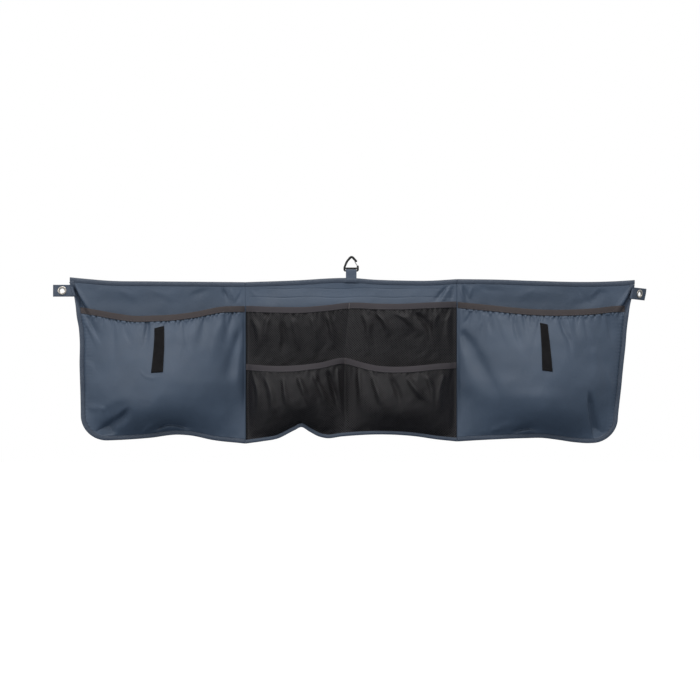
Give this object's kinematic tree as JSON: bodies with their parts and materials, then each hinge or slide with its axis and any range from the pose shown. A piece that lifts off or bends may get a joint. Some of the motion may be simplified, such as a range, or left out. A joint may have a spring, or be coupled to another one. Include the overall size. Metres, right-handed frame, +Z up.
{
  "type": "camping organizer",
  "caption": "Hanging fabric organizer with gathered end pockets, two depths of mesh pockets, grommet tabs and a clip on a strap.",
  "frame": {"origin": "back face of the clip strap, at the middle of the panel's top edge", "axes": "+X along the panel to its right-hand end, +Y out of the back, so the pockets face -Y, +Z up"},
  "size_m": [1.4281, 0.1186, 0.4483],
  "materials": {
    "shell_cloth": "satin",
    "blue_tape": "matte",
    "dark_elastic": "matte",
    "black_mesh": "matte",
    "hook_tape": "matte",
    "blue_webbing": "matte",
    "nickel": "satin",
    "black_metal": "satin",
    "bright_wire": "satin"
  },
  "bodies": {
    "panel": {"back_panel_centre": "shell_cloth", "top_binding_centre": "blue_tape", "bottom_binding_centre": "blue_tape", "mesh_tall": "black_mesh", "mesh_tall_binding": "dark_elastic", "mesh_short": "black_mesh", "mesh_short_binding": "dark_elastic", "reinforcing_band": "blue_tape", "clip_strap": "blue_webbing"},
    "left_wing": {"back_panel_left": "shell_cloth", "top_binding_left": "blue_tape", "edge_binding_left": "blue_tape", "pocket_left": "shell_cloth", "pocket_elastic_left": "dark_elastic", "hook_strip_left": "hook_tape"},
    "right_wing": {"back_panel_right": "shell_cloth", "top_binding_right": "blue_tape", "edge_binding_right": "blue_tape", "pocket_right": "shell_cloth", "pocket_elastic_right": "dark_elastic", "hook_strip_right": "hook_tape"},
    "left_tab": {"hanging_tab_left": "shell_cloth", "eyelet_left": "nickel", "washer_left": "nickel"},
    "right_tab": {"hanging_tab_right": "shell_cloth", "eyelet_right": "nickel", "washer_right": "nickel"},
    "clip": {"clip_frame": "black_metal"},
    "gate": {"clip_gate": "bright_wire"}
  },
  "joints": [
    {"name": "left_wing_fold", "type": "hinge", "parent": "panel", "child": "left_wing", "pos_m": [-0.254, -0.003, -0.19], "axis": [0, 0, 1], "range_deg": [-100, 80]},
    {"name": "right_wing_fold", "type": "hinge", "parent": "panel", "child": "right_wing", "pos_m": [0.254, -0.003, -0.19], "axis": [0, 0, -1], "range_deg": [-100, 80]},
    {"name": "left_tab_flex", "type": "hinge", "parent": "left_wing", "child": "left_tab", "pos_m": [-0.67091, -0.00343, -0.02278], "axis": [-0.3026, 0, 0.9531], "range_deg": [-90, 90]},
    {"name": "right_tab_flex", "type": "hinge", "parent": "right_wing", "child": "right_tab", "pos_m": [0.6768, -0.00343, -0.02743], "axis": [0.2256, 0, 0.9742], "range_deg": [-130, 50]},
    {"name": "clip_swing", "type": "hinge", "parent": "panel", "child": "clip", "pos_m": [0, -0.003, 0.025], "axis": [1, 0, 0], "range_deg": [-110, 110]},
    {"name": "gate_swing", "type": "hinge", "parent": "clip", "child": "gate", "pos_m": [0.0158, -0.003, 0.0354], "axis": [0, -1, 0], "range_deg": [0, 30], "stiffness_Nm_per_rad": 0.005, "springref_deg": -20.05}
  ]
}
